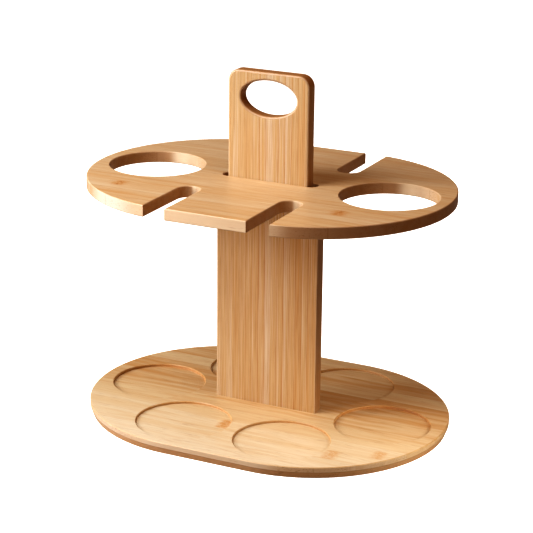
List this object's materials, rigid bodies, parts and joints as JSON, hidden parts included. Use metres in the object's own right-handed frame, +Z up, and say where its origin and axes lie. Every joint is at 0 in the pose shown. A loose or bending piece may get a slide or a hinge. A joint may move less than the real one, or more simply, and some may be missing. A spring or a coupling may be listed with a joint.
{
  "type": "wine bottle and glass holder",
  "caption": "Bamboo carrier for wine: bottles stand in a base and lean in holes of a shelf, upturned glasses hang by the foot in slots, and an upright ends in an oval hand grip.",
  "frame": {"origin": "middle of the base's underside, on the surface that the holder stands on", "axes": "+X along the boards, from the left bottle to the right one; +Y from the front of the upright to its back; +Z up, towards the hand grip"},
  "size_m": [0.3232, 0.244, 0.306],
  "materials": {
    "bamboo_board": "clear satin lacquer, grain along X",
    "bamboo_upright": "clear satin lacquer, narrow strips upright",
    "screw_steel": "zinc plated"
  },
  "bodies": {
    "root": {"base_board": "bamboo_board", "shelf_board": "bamboo_board", "upright_board": "bamboo_upright", "base_screws": "screw_steel"}
  },
  "joints": []
}
